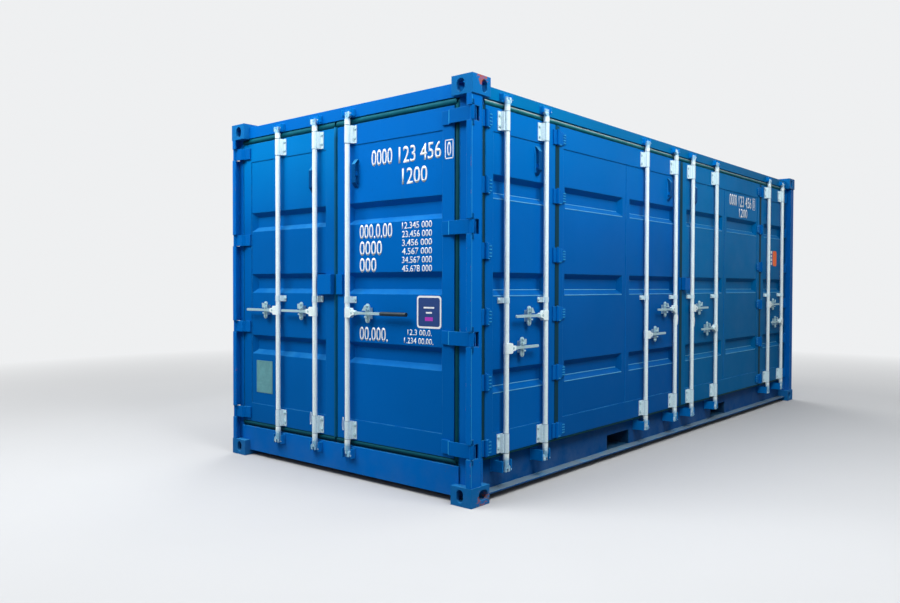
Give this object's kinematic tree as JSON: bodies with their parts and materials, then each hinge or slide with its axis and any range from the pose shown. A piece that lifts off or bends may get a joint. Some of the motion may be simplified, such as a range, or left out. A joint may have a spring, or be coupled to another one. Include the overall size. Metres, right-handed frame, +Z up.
{
  "type": "shipping container",
  "caption": "Steel shipping container with swing doors in the end and folding doors along the side, closed by lock rods with swing handles.",
  "frame": {"origin": "middle of the underside of the corner castings", "axes": "+Z up; X along the length with the end doors at -X; the folding side faces -Y"},
  "size_m": [6.058, 2.438, 2.591],
  "materials": {
    "steel_blue": "satin paint",
    "deep_blue": "satin paint",
    "plywood": "matt",
    "rubber": "matt",
    "zinc": "galvanised",
    "dull_zinc": "galvanised",
    "plate_green": "matt",
    "plastic": "matt"
  },
  "bodies": {
    "container": {"bottom_castings": "steel_blue", "top_castings": "steel_blue", "door_end_posts": "steel_blue", "blind_end_posts": "steel_blue", "door_header": "steel_blue", "door_sill": "steel_blue", "blind_end_rails": "steel_blue", "folding_side_top_rail": "steel_blue", "folding_side_bottom_rail": "deep_blue", "plain_side_rails": "deep_blue", "blind_end_wall": "steel_blue", "plain_side_wall": "steel_blue", "roof": "steel_blue", "cross_members": "deep_blue", "fork_pockets": "deep_blue", "floor_boards": "plywood", "door_hinge_lugs": "deep_blue", "cam_keepers": "deep_blue", "side_leaf_1": "steel_blue", "side_leaf_2": "steel_blue", "side_leaf_3": "steel_blue", "side_leaf_4": "steel_blue", "side_gaskets": "rubber", "side_hinges": "steel_blue", "side_lock_rods": "zinc", "side_rod_brackets": "zinc", "side_handles": "dull_zinc", "side_handle_catches": "dull_zinc", "side_overlap_lock": "steel_blue", "side_holdbacks": "steel_blue"},
    "left_end_door": {"left_door_leaf": "steel_blue", "left_door_gasket": "rubber", "left_door_hinges": "steel_blue", "left_door_brackets": "zinc", "left_door_catches": "dull_zinc", "left_door_lock_box": "steel_blue", "left_door_holdback": "steel_blue", "data_plate": "plate_green"},
    "right_end_door": {"right_door_leaf": "steel_blue", "right_door_gasket": "rubber", "right_door_hinges": "steel_blue", "right_door_brackets": "zinc", "right_door_catch": "dull_zinc", "right_door_lock_bracket": "steel_blue", "right_door_holdback": "steel_blue"},
    "lock_rod_a_body": {"lock_rod_a": "zinc", "handle_a": "dull_zinc"},
    "lock_rod_b_body": {"lock_rod_b": "zinc", "handle_b": "dull_zinc"},
    "lock_rod_c_body": {"lock_rod_c": "zinc", "handle_c": "dull_zinc", "handle_c_grip": "plastic"}
  },
  "joints": [
    {"name": "left_door_hinge", "type": "hinge", "parent": "container", "child": "left_end_door", "pos_m": [-3.011, 1.2045, 1.35], "axis": [0, 0, -1], "range_deg": [0, 260]},
    {"name": "right_door_hinge", "type": "hinge", "parent": "container", "child": "right_end_door", "pos_m": [-3.011, -1.2045, 1.35], "axis": [0, 0, 1], "range_deg": [0, 260]},
    {"name": "rod_a_turn", "type": "hinge", "parent": "left_end_door", "child": "lock_rod_a_body", "pos_m": [-3.009, 0.66, 1.145], "axis": [0, 0, -1], "range_deg": [-100, 0]},
    {"name": "rod_b_turn", "type": "hinge", "parent": "left_end_door", "child": "lock_rod_b_body", "pos_m": [-3.009, 0.236, 1.145], "axis": [0, 0, -1], "range_deg": [-100, 0]},
    {"name": "rod_c_turn", "type": "hinge", "parent": "right_end_door", "child": "lock_rod_c_body", "pos_m": [-3.009, -0.108, 1.145], "axis": [0, 0, 1], "range_deg": [-100, 0]}
  ]
}
